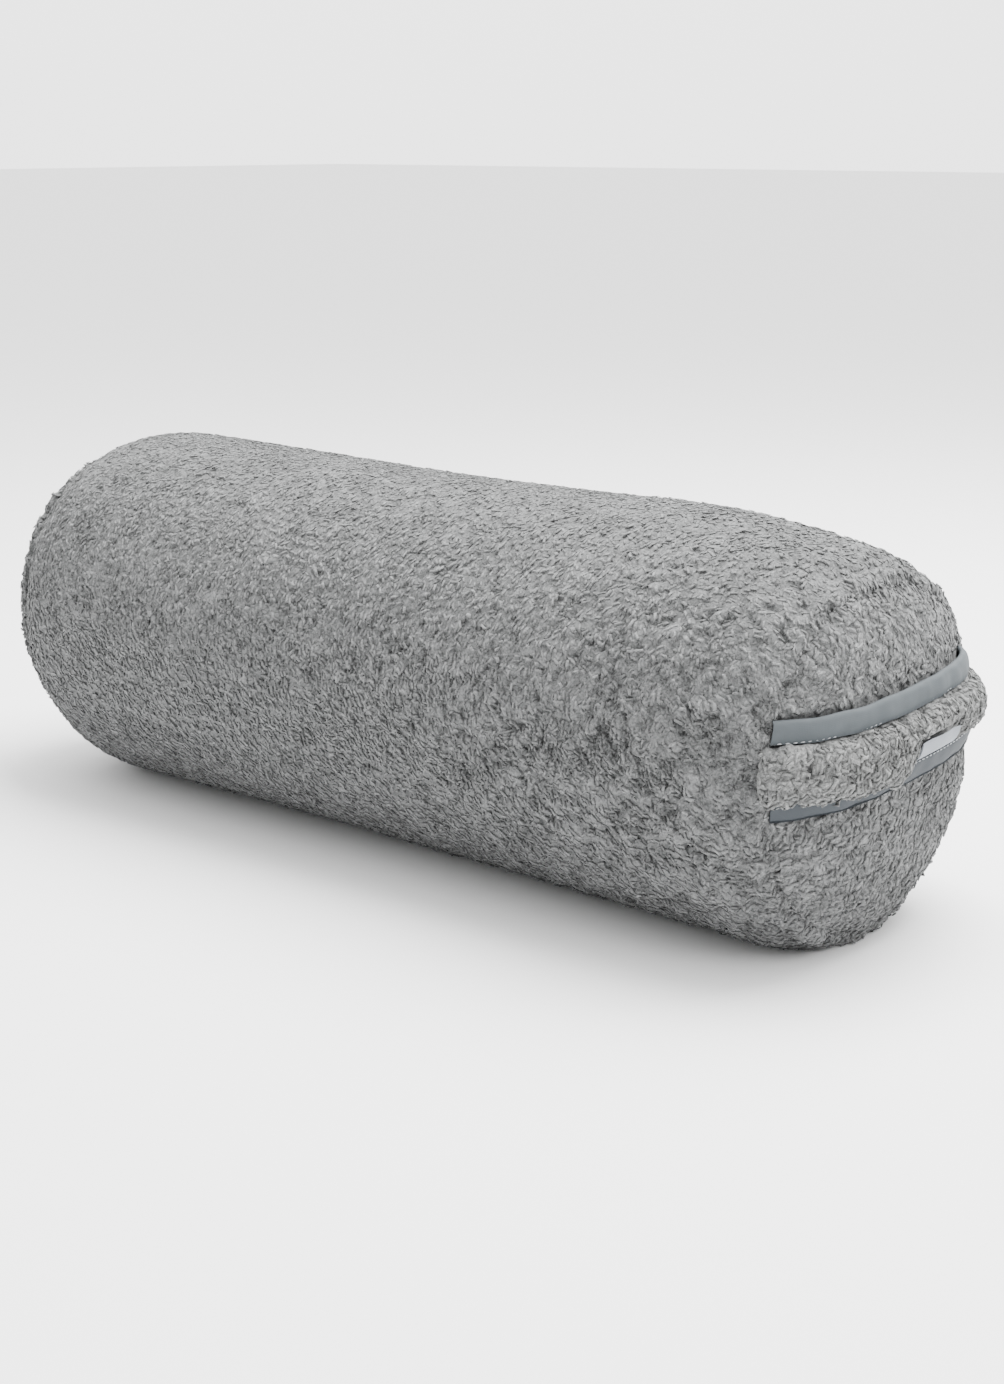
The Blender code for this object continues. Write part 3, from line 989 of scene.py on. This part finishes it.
def folded_tape(name, node, upper, material):
    """A tape cut flat, folded lengthways over one edge of the strap and stitched through."""
    half_loop = TAPE_FACE / 2
    straight = TAPE_WIDTH - half_loop - TAPE_THICKNESS / 2
    width = 2 * straight + math.pi * half_loop
    side = 1 if upper else -1
    length = path_length(side * TAPE_MIDDLE, TAPE_FACE)
    tape = flat_cloth(name, length, width, 260, 30)
    bend = STRAP_WIDTH / 2 - half_loop - TAPE_THICKNESS / 2
    points = []
    for vertex in tape.data.vertices:
        along = vertex.co.x / length * 2 * HALF_SPAN
        cut = vertex.co.y
        rise = strap_row(along)[2] * MM if upper else 0
        if abs(cut) <= math.pi * half_loop / 2:
            turn = cut / half_loop
            across, away = bend + half_loop * math.cos(turn), half_loop + half_loop * math.sin(turn)
        else:
            across = bend - (abs(cut) - math.pi * half_loop / 2)
            away = 2 * half_loop if cut > 0 else 0
        if cut > 0 and not upper:
            away += lean(across)
        away += TAPE_THICKNESS / 2
        wander = noise.noise(Vector((along / (17 * MM), 3.0 * side, 0))) * 0.6 * MM
        if cut > 0:
            # The front face swells between its edges, is drawn in along the stitches and ripples a little
            from_mouth = across - TAPE_MOUTH
            stitched = math.exp(-((from_mouth - STITCH_INSET) / (0.8 * MM)) ** 2)
            dimple = 0.5 + 0.5 * math.cos(2 * math.pi * along / STITCH_PITCH)
            puff = math.sin(math.pi * min(max(from_mouth / TAPE_WIDTH, 0), 1)) * (0.9 if upper else 0.4) * MM
            away += puff - stitched * (0.20 + 0.22 * dimple) * MM
            away += noise.noise(Vector((along / (11 * MM), across / (9 * MM), 5.0 * side))) * 0.6 * MM
        points.append(on_strap(along, side * (across + wander) + rise, away))
    move_to(tape, points)
    if upper:
        tape.data.flip_normals()
    thicken(tape, TAPE_THICKNESS - 0.1 * MM)
    finish_piece(tape, material, 60)
    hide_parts(node)
    return tape


def label(material):
    """A narrow woven label, folded in half along its upper edge and caught in the lower tape's seam."""
    height = 11.0 * MM
    cloth = flat_cloth("strap_label_cloth", LABEL_LENGTH, 2 * height, 60, 40)
    seam_up, seam_away = -TAPE_MOUTH, TAPE_FACE + TAPE_THICKNESS + 1.2 * MM
    # The curve of its cross-section, up from the seam and away from the panel in millimetres
    foot, bend, head = (1.2, 0.8), (3.2, 4.2), (11.0, 5.9)
    points = []
    for vertex in cloth.data.vertices:
        along = LABEL_START - 3 * MM + LABEL_LENGTH / 2 + vertex.co.x
        t = 1 - abs(vertex.co.y) / height
        weights = ((1 - t) ** 2, 2 * t * (1 - t), t**2)
        up = sum(w * m[0] for w, m in zip(weights, (foot, bend, head))) * MM
        away = sum(w * m[1] for w, m in zip(weights, (foot, bend, head))) * MM
        gap = 0.30 * MM * math.sqrt(max(1 - t**6, 0)) * (1 if vertex.co.y > 0 else -1)
        wave = 0.5 * MM * math.sin(2 * math.pi * vertex.co.x / (26 * MM) + 1) * t
        flare = max((vertex.co.x - LABEL_LENGTH * 0.32) / (LABEL_LENGTH * 0.18), 0) ** 2 * t * 1.6 * MM
        points.append(on_strap(along, seam_up + up - gap * 0.7, seam_away + away + gap * 0.7 + wave + flare))
    move_to(cloth, points)
    cloth.data.flip_normals()
    thicken(cloth, 0.32 * MM)
    finish_piece(cloth, material, 60)
    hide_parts("strap_label")
    return cloth


def stitch_rows(material):
    """The topstitching that closes both tapes on the strap: short stitches of pale thread."""
    bpy.ops.object.select_all(action="DESELECT")
    bpy.ops.mesh.primitive_uv_sphere_add(segments=6, ring_count=5, radius=1)
    stitch = bpy.context.view_layer.objects.active
    bpy.ops.object.mode_set(mode="EDIT")
    bpy.ops.mesh.select_all(action="SELECT")
    bpy.ops.mesh.quads_convert_to_tris()
    bpy.ops.object.mode_set(mode="OBJECT")
    shape = coordinates(stitch) * np.array([0.35 * MM, 1.25 * MM, 0.35 * MM])
    faces = np.array([tuple(face.vertices) for face in stitch.data.polygons])
    bpy.data.objects.remove(stitch)
    from_middle = TAPE_MOUTH + STITCH_INSET
    all_points, all_faces = [], []
    for side in (1, -1):
        for i in range(int((2 * HALF_SPAN - 6 * MM) / STITCH_PITCH)):
            along = -HALF_SPAN + 3.5 * MM + i * STITCH_PITCH
            rise = strap_row(along)[2] * MM if side > 0 else 0
            across = side * from_middle + rise
            pushed = -0.7 * deep_at(along) * MM if side > 0 else lean(from_middle)
            away = TAPE_FACE + TAPE_THICKNESS + 0.1 * MM + pushed
            here = np.array(on_strap(along, across, away))
            ahead = np.array(on_strap(along + 1 * MM, across, away)) - here
            ahead /= np.linalg.norm(ahead)
            out = np.array(outward_at(here[1]))
            axes = np.stack([out, ahead, np.cross(out, ahead)])
            all_points.append(here + shape @ axes)
            all_faces.append(faces + len(shape) * len(all_faces))
    points, faces = np.concatenate(all_points), np.concatenate(all_faces)
    thread = mesh_from_copies("strap_topstitching", points, faces)
    finish_piece(thread, material)


def main():
    """Builds the studio, the fleece pieces and the strap."""
    studio()
    fleece = wool_fleece("grey_wool_fleece", "#1C1D1D", "#808181")
    strap_wool = wool_fleece("grey_wool_fleece_of_strap", "#202121", "#8B8C8B")
    tape_cloth = woven_tape("grey_cotton_tape", "#4C5154", "#464B4E")
    # The lower tape has a darker copy of the same tape cloth: painted shade, for the shade it lies in, facing down
    # under the pile
    lower_tape_painted_shade = woven_tape("grey_cotton_tape_painted_shade", "#373B3F", "#33373B")
    label_cloth = woven_tape("white_woven_label", "#85898F", "#7C8086")
    thread = plain_matt("pale_polyester_thread", "#A6A9AC", 0.6)
    shapes = [curl_shape(curl) for curl in CURLS]
    skin = whole_skin()

    tube = copy_of("filled_tube", "tube_fleece")
    plump(tube, voxel=10.4 * MM, pressure=30, cap=3 * MM)
    subdivide(tube, 2)
    draw_up_seam(tube, skin)
    raise_tufts(
        tube,
        brushed_nap,
        size_at=lambda points: (7.0 + 5.0 * gathered(points)) * MM,
        height_at=lambda points: (1.4 + 2.4 * gathered(points)) * MM,
        seed=5,
    )
    finish_piece(tube, fleece)
    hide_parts("filled_tube")
    cuts = (-0.33, -0.18, -0.06, 0.06, 0.18, 0.33)
    for i, (first, last) in enumerate(zip(cuts, cuts[1:])):
        locks = lay_locks(
            f"tube_locks_{i + 1}",
            tube,
            shapes,
            tube_shown(first, last),
            apart=2.5 * MM,
            nap_at=brushed_nap,
            length=5.2 * MM,
            width=2.4 * MM,
            height_at=lambda roots: (0.95 - 0.05 * gathered(roots)) * MM,
            seed=11 + i,
        )
        finish_piece(locks, fleece)

    for node, name in (("end_panel_strap_side", "strap_end_fleece"), ("end_panel_plain_side", "plain_end_fleece")):
        panel = copy_of(node, name)
        plump(panel, voxel=4.2 * MM, pressure=4, cap=1 * MM)
        subdivide(panel, 1)
        draw_up_seam(panel, skin)
        raise_tufts(panel, swirled_nap, size_at=evenly(11.0 * MM), height_at=panel_tuft_height, seed=7)
        finish_piece(panel, fleece)
        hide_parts(node)
        locks = lay_locks(
            name.replace("fleece", "locks"),
            panel,
            shapes,
            panel_shown,
            apart=2.5 * MM,
            nap_at=swirled_nap,
            length=6.0 * MM,
            width=3.0 * MM,
            height_at=evenly(0.8 * MM),
            seed=31,
        )
        finish_piece(locks, fleece)

    strap = strap_backing()
    raise_tufts(strap, strap_nap, size_at=evenly(9.5 * MM), height_at=strap_tuft_height, seed=9)
    finish_piece(strap, strap_wool)
    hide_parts("strap_web")
    locks = lay_locks(
        "strap_locks",
        strap,
        shapes,
        strap_shown,
        apart=2.2 * MM,
        nap_at=strap_nap,
        length=6.5 * MM,
        width=2.6 * MM,
        height_at=evenly(1.1 * MM),
        seed=47,
    )
    finish_piece(locks, strap_wool)
    folded_tape("strap_tape_upper_cloth", "strap_tape_upper", True, tape_cloth)
    folded_tape("strap_tape_lower_cloth", "strap_tape_lower", False, lower_tape_painted_shade)
    label(label_cloth)
    stitch_rows(thread)


main()
